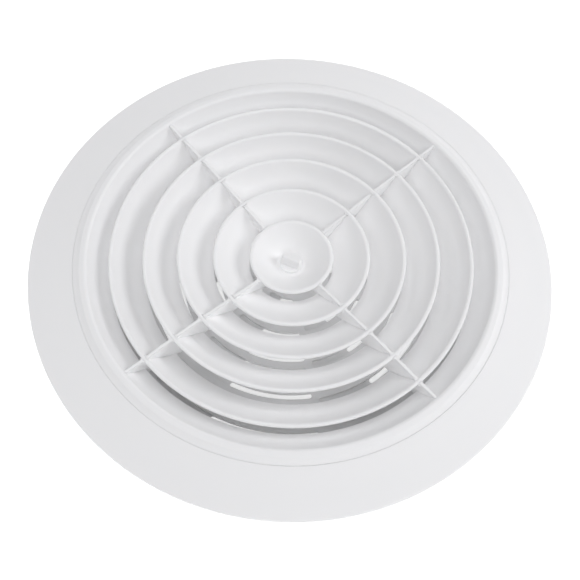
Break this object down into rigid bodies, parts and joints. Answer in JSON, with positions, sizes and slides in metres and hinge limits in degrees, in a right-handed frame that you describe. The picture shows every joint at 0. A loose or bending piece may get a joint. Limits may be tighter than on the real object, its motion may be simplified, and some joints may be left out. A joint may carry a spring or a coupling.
{
  "type": "ceiling air diffuser",
  "caption": "Round white ceiling air diffuser: broad flange, flared concentric louvre rings on radial ribs, slotted damper turned by a centre knob, duct spigot behind.",
  "frame": {"origin": "centre of the spigot's free rim, which the diffuser stands on when it lies face up", "axes": "+Z along the duct axis, out of the louvred face; +X midway between two radial ribs"},
  "size_m": [0.27, 0.27, 0.0583],
  "materials": {
    "white_abs_face": "satin injection-moulded ABS",
    "white_abs_collar": "satin injection-moulded ABS",
    "white_abs_damper": "matt injection-moulded ABS",
    "white_abs_knob": "satin injection-moulded ABS",
    "white_acetal_spindle": "natural acetal",
    "grey_foam": "closed-cell foam",
    "spring_steel": "bright rolled spring steel",
    "aluminium_rivet": "bright",
    "zinc_plated_steel": "zinc plated"
  },
  "bodies": {
    "housing": {"face_flange": "white_abs_face", "core_rim": "white_abs_face", "centre_dish": "white_abs_face", "louvre_ring_1": "white_abs_face", "louvre_ring_2": "white_abs_face", "louvre_ring_3": "white_abs_face", "louvre_ring_4": "white_abs_face", "radial_rib_1": "white_abs_face", "radial_rib_2": "white_abs_face", "radial_rib_3": "white_abs_face", "radial_rib_4": "white_abs_face", "mounting_ring": "white_abs_collar", "duct_spigot": "white_abs_collar", "damper_seat": "white_abs_collar", "damper_fixed_plate": "white_abs_damper", "ceiling_gasket": "grey_foam", "retaining_clip_1": "spring_steel", "retaining_clip_2": "spring_steel", "retaining_clip_3": "spring_steel", "clip_rivets": "aluminium_rivet", "frame_screws": "zinc_plated_steel", "damper_plate_screws": "zinc_plated_steel"},
    "damper_rotor": {"damper_rotor_plate": "white_abs_damper", "control_knob": "white_abs_knob", "knob_spindle": "white_acetal_spindle", "spring_washer": "spring_steel", "plain_washer": "zinc_plated_steel", "rotor_screw": "zinc_plated_steel"}
  },
  "joints": [
    {"name": "damper_turn", "type": "hinge", "parent": "housing", "child": "damper_rotor", "pos_m": [0, 0, 0.0282], "axis": [0, 0, 1], "range_deg": [-22.3, 37.7]}
  ]
}
